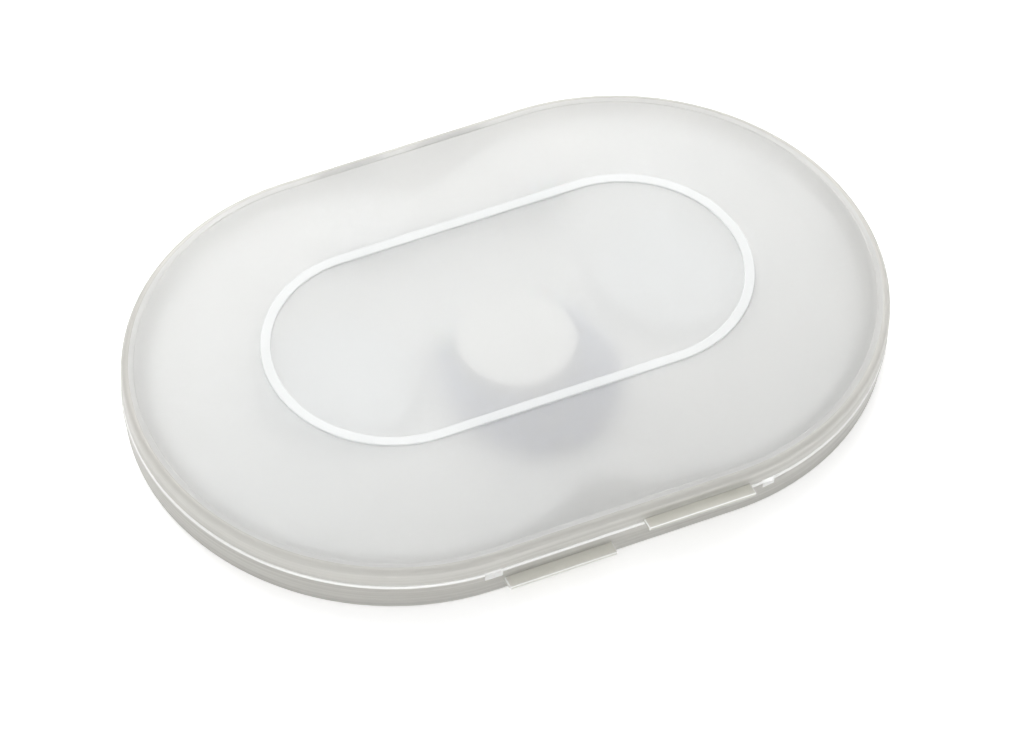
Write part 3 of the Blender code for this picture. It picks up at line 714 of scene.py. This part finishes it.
def make_lens_tray():
    """Two-lobed deck with a rounded edge, cup sleeves, the mirror's stand and the stick's cradles."""
    finish = [MATERIALS["tray"]]
    foot = TRAY_LOW.z
    deck = TRAY_TOP - TRAY_WALL
    inner = TRAY_RADIUS - TRAY_WALL
    profile = [(inner, deck), (inner, foot), (TRAY_RADIUS, foot)]
    profile += corner((TRAY_RADIUS - TRAY_ROUND, TRAY_TOP - TRAY_ROUND), TRAY_ROUND, 0, 90, 6)
    rings = [two_lobes(radius, z) for radius, z in profile]
    tray = add_piece("white_lens_tray", loft(rings), finish)
    for side in ("left", "right"):
        centre = box_centre(f"screw_cap_{side}")
        bore = half_width(f"screw_cap_{side}") + SLEEVE_GAP
        near, far, crown = bore - TRAY_WALL, bore + TRAY_WALL, deck + TRAY_WALL / 2
        wall = [(near, foot), (far, foot), (far, crown), (near, crown)]
        apply_boolean(tray, turned("sleeve", wall, centre, finish), "UNION")
        mouth = [(bore, 0), (bore, TRAY_TOP - TRAY_WALL / 4), (bore + TRAY_WALL / 4, TRAY_TOP)]
        mouth += [(bore + TRAY_WALL / 4, TRAY_TOP + FLOOR)]
        apply_boolean(tray, turned("mouth", mouth, centre, finish), "DIFFERENCE")
    stick = box_centre("applicator_stick")
    stick_low, stick_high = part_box("applicator_stick")
    stick_z = (stick_low.z + stick_high.z) / 2
    for x in (-CRADLE_X, CRADLE_X):
        low = (x - CRADLE_LENGTH / 2, stick.y - CRADLE_WIDTH / 2, deck + TRAY_WALL / 2)
        high = (x + CRADLE_LENGTH / 2, stick.y + CRADLE_WIDTH / 2, stick_z)
        apply_boolean(tray, bevelled_block("cradle", low, high, TRAY_WALL / 4, finish), "UNION")
    radius = (stick_high.z - stick_low.z) / 2 + SEAT_GAP
    groove = rod("groove", radius, -2 * CRADLE_X, 4 * CRADLE_X, stick.y, stick_z, finish)
    apply_boolean(tray, groove, "DIFFERENCE")
    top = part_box("mirror_glass")[0].z - SEAT_GAP
    low = deck + TRAY_WALL / 2
    inner = STAND_RADIUS - STAND_WALL
    post = [(inner, TRAY_TOP - TRAY_WALL / 4), (inner, top), (STAND_RADIUS, top), (STAND_RADIUS, low)]
    stand = eased(post + [(inner, low)], TRAY_WALL / 4)[:-1]
    apply_boolean(tray, turned("stand", stand, box_centre("mirror_glass"), finish), "UNION")
    finish_shell(tray, "lens_tray", "tray_white", "case_base")


def thread(centre, wall_radius, outward, start_turn, rise, material):
    """One turn of helical ridge that fades in and out at its ends."""
    way = 1 if outward else -1
    sink = wall_radius - way * THREAD_SINK
    rings = []
    for step in range(ROUND_STEPS + 1):
        share = step / ROUND_STEPS
        fade = min(1, THREAD_FADE * share, THREAD_FADE * (1 - share))
        crest = wall_radius + way * (THREAD_HEIGHT * max(fade, THREAD_LEAST))
        turn = start_turn + math.tau * share
        section = (
            (sink, -THREAD_WIDTH / 2),
            (crest, -THREAD_CREST / 2),
            (crest, THREAD_CREST / 2),
            (sink, THREAD_WIDTH / 2),
        )
        middle = rise + THREAD_PITCH * share
        ring = [Vector((r * math.cos(turn), r * math.sin(turn), middle + z)) for r, z in section]
        rings.append([centre + point for point in ring])
    return add_piece("thread", loft(rings), [material])


def make_lens_cup(side):
    """Glossy cup: a foot, a round-bottomed well and one outside thread."""
    node = f"lens_cup_{side}"
    low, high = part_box(node)
    centre = box_centre(node)
    foot = half_width(node)
    floor = low.z + FOOT_THICKNESS
    wall = WELL_RADIUS + CUP_WALL
    outside = [(foot - CUP_FOOT_SLOPE, low.z), (foot, low.z), (foot, floor), (wall, floor), (wall, high.z)]
    outside += [(WELL_RADIUS, high.z), (WELL_RADIUS, floor + TRAY_ROUND)]
    profile = eased(outside, CUP_EASE)[:-1]
    profile += corner((WELL_RADIUS - TRAY_ROUND, floor + TRAY_ROUND), TRAY_ROUND, 0, -90, 6)
    cup = turned(f"glossy_{node}", profile, centre, [MATERIALS["cup"]])
    ridge = thread(centre, wall, True, 0, floor + THREAD_START, MATERIALS["cup"])
    apply_boolean(cup, ridge, "UNION")
    finish_shell(cup, node, "cup_white", "case_base")


def make_screw_cap(side):
    """Ribbed cap with a shallow dished top and one inside thread."""
    node = f"screw_cap_{side}"
    low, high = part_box(node)
    centre = box_centre(node)
    radius = half_width(node)
    bore = radius - CAP_WALL
    ceiling = high.z - CAP_TOP
    dish = high.z - CAP_DISH
    profile = [(bore, ceiling), (bore, low.z), (radius, low.z), (radius, high.z)]
    profile += [(radius - CAP_RIM, high.z), (radius - CAP_SLOPE, dish), (radius - CAP_FLAT, dish)]
    ribbed = {"ribs": GRIP_RIBS, "rib_depth": GRIP_DEPTH, "steps": 4 * ROUND_STEPS}
    cap = turned(f"ribbed_{node}", profile, centre, [MATERIALS["cap"]], CAP_EASE, **ribbed)
    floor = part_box(f"lens_cup_{side}")[0].z + FOOT_THICKNESS
    ridge = thread(centre, bore, False, math.pi, floor + THREAD_START, MATERIALS["cap"])
    apply_boolean(cap, ridge, "UNION")
    finish_shell(cap, node, "cap_white", f"cap_{side}")


def make_cap_seal(side):
    """Milky disc with a soft edge."""
    node = f"cap_seal_{side}"
    seal = coin(f"milky_{node}", node, half_width(node), SEAL_RIM, box_centre(node), "silicone", SEAL_EASE)
    settle(seal, f"seal_{side}", "silicone", node)


# ---------------------------------------------------------------- mirror, tweezers, applicator

MIRROR_LOW, MIRROR_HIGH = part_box("mirror_frame")
MIRROR = box_centre("mirror_frame")
MIRROR_RADIUS = half_width("mirror_frame")
MIRROR_EASE = 0.3 * MM
MIRROR_CROWN = 0.25 * MM
MIRROR_SLOPE = 1.5 * MM
PANE_RIM = 0.6 * MM
PANE_EASE = 0.2 * MM
PIVOT = Vector(JOINTS["tweezer_squeeze"]["pos_m"])
PIVOT_BACK = 10.2 * MM
BOW_RADIUS = 15.6 * MM
BOW_CENTRE = Vector((PIVOT.x, PIVOT.y + PIVOT_BACK))
TWEEZER_LOW, TWEEZER_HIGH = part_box("tweezer_arm_left")
TWEEZER_MARGIN = 0.6 * MM
TWEEZER_LEAST = 2.4 * MM
TWEEZER_SPLIT = 1.6 * MM
EYE_RADIUS = 4.0 * MM
PIVOT_BORE = 1.45 * MM
ARM_END = math.radians(22)
TIP_SWEEP = math.radians(34)
TONGUE_SWEEP = math.radians(16)
TONGUE_WIDTH = 0.9 * MM
TONGUE_THICKNESS = 0.8 * MM
ARM_EASE = 0.12 * MM
TIP_EASE = 0.2 * MM
PIVOT_EASE = 0.2 * MM
STICK_EASE = 0.25 * MM
RUBBER_NECK_START = 1.2 * MM
RUBBER_NECK_END = 1.6 * MM
RUBBER_NECK_SHARE = 0.84
RUBBER_RIM_SHARE = 0.86
RUBBER_FLARE = 0.6 * MM
RUBBER_DISH = ((0.35, 0.7 * MM), (0.1, 0.65 * MM))


def make_mirror():
    """Round frame with a slightly domed back, lying face down over its glass."""
    radius = half_width("mirror_glass")
    opening = radius + SEAT_GAP
    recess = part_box("mirror_glass")[1].z + SEAT_GAP
    profile = [(opening, recess), (opening, MIRROR_LOW.z), (MIRROR_RADIUS, MIRROR_LOW.z)]
    profile += [(MIRROR_RADIUS, MIRROR_HIGH.z - MIRROR_CROWN), (MIRROR_RADIUS - MIRROR_SLOPE, MIRROR_HIGH.z)]
    profile += [(MIRROR_RADIUS / 2, MIRROR_HIGH.z)]
    back = turned("mirror_back_and_rim", profile, MIRROR, [MATERIALS["mirror_back"]], MIRROR_EASE)
    settle(back, "case_base", "frame_white", "mirror_frame")
    glass = coin("mirror_pane", "mirror_glass", radius, PANE_RIM, MIRROR, "mirror", PANE_EASE)
    settle(glass, "case_base", "mirror_silver", "mirror_glass")


def crescent_width(turn):
    """Width of a tweezer arm at an angle about the mirror's centre, thick at the bow."""
    shift = MIRROR.to_2d() - BOW_CENTRE
    along = shift.dot(Vector((math.cos(turn), math.sin(turn))))
    outer = -along + math.sqrt(along**2 - shift.length_squared + BOW_RADIUS**2)
    return max(outer - MIRROR_RADIUS - TWEEZER_MARGIN, TWEEZER_LEAST)


def bowed_plate(name, side, start, sweep, inset, width, ends, material, steps=48):
    """Plate that follows the mirror's rim, from the front round one side to the back."""
    lower, upper = [], []
    for step in range(steps + 1):
        turn = start + sweep * step / steps
        near = MIRROR_RADIUS + TWEEZER_MARGIN + inset
        lower.append((near, turn))
        upper.append((near + (width or crescent_width(turn)), turn))
    outline = lower + upper[::-1]
    flat = [(MIRROR.x + side * r * math.cos(t), MIRROR.y + r * math.sin(t)) for r, t in outline]
    rings = [[Vector((x, y, z)) for x, y in flat] for z in ends]
    return add_piece(name, loft(rings), [material])


def make_tweezer_arm(name, side, upper):
    """One bowed arm: its half of the lapped eye, and a tongue for the soft tip."""
    low, high = TWEEZER_LOW.z, TWEEZER_HIGH.z
    middle = (low + high) / 2
    finish = MATERIALS["tweezer"]
    node = f"tweezer_arm_{name}"
    front = -math.pi / 2
    arm = bowed_plate(f"bowed_{node}", side, front, ARM_END - front, 0, None, (low, high), finish)
    edge = PIVOT.x + side * TWEEZER_SPLIT / 2
    far = edge - side * BOW_RADIUS
    corner_low = (min(edge, far), PIVOT.y - BOW_RADIUS, low - SEAT_GAP)
    corner_high = (max(edge, far), PIVOT.y + BOW_RADIUS / 2, high + SEAT_GAP)
    apply_boolean(arm, bevelled_block("split", corner_low, corner_high, MM / 100, [finish]), "DIFFERENCE")
    axis = Vector((PIVOT.x, PIVOT.y, 0))
    below = (low - SEAT_GAP, middle + SEAT_GAP / 2)
    above = (middle - SEAT_GAP / 2, high + SEAT_GAP)
    room = below if upper else above
    eye = (middle + SEAT_GAP / 2, high) if upper else (low, middle - SEAT_GAP / 2)
    clear = EYE_RADIUS + SEAT_GAP
    apply_boolean(arm, turned("room", [(clear, z) for z in room], axis, [finish]), "DIFFERENCE")
    apply_boolean(arm, turned("eye", [(EYE_RADIUS, z) for z in eye], axis, [finish]), "UNION")
    bore = [(PIVOT_BORE, low - SEAT_GAP), (PIVOT_BORE, high + SEAT_GAP)]
    apply_boolean(arm, turned("bore", bore, axis, [finish]), "DIFFERENCE")
    inset = (TWEEZER_LEAST - TONGUE_WIDTH) / 2
    ends = (middle - TONGUE_THICKNESS / 2, middle + TONGUE_THICKNESS / 2)
    start = ARM_END - TONGUE_SWEEP
    tongue = bowed_plate("tongue", side, start, 2 * TONGUE_SWEEP, inset, TONGUE_WIDTH, ends, finish, 16)
    apply_boolean(arm, tongue, "UNION")
    soften(arm, ARM_EASE)
    settle(arm, "tweezer_jaw" if upper else "case_base", "blue_grey", node)


def make_tweezer_tip(name, side, body):
    """Soft round-edged tip over the arm's tongue."""
    low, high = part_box(f"tweezer_tip_{name}")
    middle = (low.z + high.z) / 2
    gap_turn = SEAT_GAP / MIRROR_RADIUS
    finish = MATERIALS["silicone"]
    node = f"tweezer_tip_{name}"
    start = ARM_END + gap_turn
    tip = bowed_plate(f"soft_{node}", side, start, TIP_SWEEP, 0, TWEEZER_LEAST, (low.z, high.z), finish, 16)
    inset = (TWEEZER_LEAST - TONGUE_WIDTH) / 2 - SEAT_GAP
    width = TONGUE_WIDTH + 2 * SEAT_GAP
    rise = TONGUE_THICKNESS / 2 + SEAT_GAP
    sweep = TONGUE_SWEEP + 3 * gap_turn
    ends = (middle - rise, middle + rise)
    socket = bowed_plate("socket", side, ARM_END - gap_turn, sweep, inset, width, ends, finish, 16)
    apply_boolean(tip, socket, "DIFFERENCE")
    soften(tip, TIP_EASE)
    settle(tip, body, "silicone", node)


def make_pins():
    """Steel pins of the hinge and the tweezers."""
    for name in ("hinge_pin_left", "hinge_pin_right"):
        low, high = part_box(name)
        radius = (high.z - low.z) / 2
        finish = [MATERIALS["steel"]]
        pin = rod(f"steel_{name}", radius, low.x, high.x - low.x, HINGE.y, HINGE.z, finish, radius / 4)
        settle(pin, "case_base", "steel", name)
    radius = half_width("tweezer_pivot")
    axis = Vector((PIVOT.x, PIVOT.y, 0))
    pivot = coin("steel_tweezer_pivot", "tweezer_pivot", radius, radius / 2, axis, "dark_steel", PIVOT_EASE)
    settle(pivot, "case_base", "steel", "tweezer_pivot")


def turned_along_x(name, profile, y, z, materials, steps=64):
    """Body turned about a level axis from (radius, x) points."""
    rings = []
    for radius, x in eased(profile, STICK_EASE):
        turns = [math.tau * step / steps for step in range(steps)]
        rings.append([Vector((x, y + radius * math.cos(t), z + radius * math.sin(t))) for t in turns])
    return add_piece(name, loft(rings), materials)


def make_applicator():
    """Stick with a rounded butt, and the flared suction cup on its other end."""
    low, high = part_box("applicator_stick")
    y, z, radius = (low.y + high.y) / 2, (low.z + high.z) / 2, (high.z - low.z) / 2
    profile = [(radius / 3, low.x), (radius, low.x), (radius, high.x), (radius / 3, high.x)]
    stick = turned_along_x("white_applicator_stick", profile, y, z, [MATERIALS["cup"]])
    settle(stick, "case_base", "cup_white", "applicator_stick")
    cup_low, cup_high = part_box("suction_cup")
    wide = (cup_high.z - cup_low.z) / 2
    bore = radius + SEAT_GAP
    deep = high.x + SEAT_GAP
    profile = [(bore / 3, deep), (bore, deep), (bore, cup_low.x), (wide, cup_low.x)]
    neck = wide * RUBBER_NECK_SHARE
    profile += [(wide, cup_low.x + RUBBER_NECK_START), (neck, cup_low.x + RUBBER_NECK_END)]
    profile += [(neck, deep + RUBBER_FLARE), (wide, cup_high.x), (wide * RUBBER_RIM_SHARE, cup_high.x)]
    profile += [(wide * share, deep + depth) for share, depth in RUBBER_DISH]
    cup = turned_along_x("milky_suction_cup", profile, y, z, [MATERIALS["silicone"]])
    settle(cup, "case_base", "silicone", "suction_cup")


def make_case():
    """Every piece of the case and its kit."""
    make_base_shell()
    make_lid_shell()
    make_lens_tray()
    for side in ("left", "right"):
        make_lens_cup(side)
        make_screw_cap(side)
        make_cap_seal(side)
    make_mirror()
    make_tweezer_arm("left", -1, False)
    make_tweezer_arm("right", 1, True)
    make_tweezer_tip("left", -1, "case_base")
    make_tweezer_tip("right", 1, "tweezer_jaw")
    make_pins()
    make_applicator()


make_case()


# ---------------------------------------------------------------- studio

FLOOR_SIZE = 6.0
FLOOR_DROP = 0.02 * MM
FLOOR_GLOW = 0.3
FLOOR_ROUGHNESS = 0.9
FLOOR_PATCHES = 2.0
WORLD_STRENGTH = 0.6
SOFTBOXES = {
    "back_softbox": {"place": (0.15, 0.9, 1.0), "size": (1.5, 1.2), "power": 19.4},
    "front_softbox": {"place": (-0.6, -1.0, 0.9), "size": (1.6, 1.0), "power": 5.8},
}
CAMERA_AZIMUTH = math.radians(-26.715)
CAMERA_ELEVATION = math.radians(49.658)
CAMERA_ROLL = math.radians(3.028)
CAMERA_DISTANCE = 1.2229
CAMERA_AIM_RIGHT = 0.781 * MM
CAMERA_AIM_UP = -6.166 * MM
CAMERA_LENS = 261.86
CAMERA_SENSOR = 36
CAMERA_CLIP_START = 0.01


def make_floor():
    """Plain pale floor."""
    bm = bmesh.new()
    bmesh.ops.create_grid(bm, x_segments=1, y_segments=1, size=FLOOR_SIZE)
    floor = add_piece("studio_floor", bm, [])
    material = bpy.data.materials.new("studio_floor")
    material.use_nodes = True
    tree = material.node_tree
    shader = tree.nodes["Principled BSDF"]
    shader.inputs["Roughness"].default_value = FLOOR_ROUGHNESS
    shader.inputs["Emission Color"].default_value = (1, 1, 1, 1)
    shader.inputs["Emission Strength"].default_value = FLOOR_GLOW
    tone = place_group(tree, TONE, Pale=(1, 1, 1, 1), Deep=(0.98, 0.98, 0.98, 1), Scale=FLOOR_PATCHES)
    tree.links.new(tone.outputs["Color"], shader.inputs["Base Color"])
    floor.data.materials.append(material)
    floor.location.z = -FLOOR_DROP


def make_world():
    """Even white surroundings."""
    world = bpy.data.worlds.new("studio")
    world.use_nodes = True
    background = world.node_tree.nodes["Background"]
    background.inputs["Color"].default_value = (1, 1, 1, 1)
    background.inputs["Strength"].default_value = WORLD_STRENGTH
    bpy.context.scene.world = world


def add_softbox(name, place, size, power):
    """Rectangular area light aimed at the case."""
    lamp = bpy.data.lights.new(name, "AREA")
    lamp.shape = "RECTANGLE"
    lamp.size, lamp.size_y = size
    lamp.energy = power
    item = bpy.data.objects.new(name, lamp)
    item.location = place
    item.rotation_euler = (-Vector(place)).to_track_quat("-Z", "Y").to_euler()
    bpy.context.scene.collection.objects.link(item)


def make_camera():
    """Long lens, looking down across the thumb ledges from the left."""
    level = Vector((math.cos(CAMERA_AZIMUTH), math.sin(CAMERA_AZIMUTH), 0))
    level_share = math.cos(CAMERA_ELEVATION)
    ahead = (level_share * math.sin(CAMERA_AZIMUTH), -level_share * math.cos(CAMERA_AZIMUTH))
    back = Vector((*ahead, math.sin(CAMERA_ELEVATION)))
    rise = back.cross(level)
    right = math.cos(CAMERA_ROLL) * level + math.sin(CAMERA_ROLL) * rise
    up = -math.sin(CAMERA_ROLL) * level + math.cos(CAMERA_ROLL) * rise
    middle = Vector((0, 0, (RIM_Z + LID_Z) / 2))
    place = middle + CAMERA_DISTANCE * back + CAMERA_AIM_RIGHT * right + CAMERA_AIM_UP * up
    camera = bpy.data.cameras.new("camera")
    camera.lens = CAMERA_LENS
    camera.sensor_width = CAMERA_SENSOR
    camera.clip_start = CAMERA_CLIP_START
    item = bpy.data.objects.new("camera", camera)
    item.matrix_world = Matrix.Translation(place) @ Matrix((right, up, back)).transposed().to_4x4()
    bpy.context.scene.collection.objects.link(item)
    bpy.context.scene.camera = item


def make_studio():
    """Floor, surroundings, lamps, camera and a plain view transform."""
    make_floor()
    make_world()
    for name, lamp in SOFTBOXES.items():
        add_softbox(name, **lamp)
    make_camera()
    bpy.context.scene.view_settings.view_transform = "Standard"


make_studio()
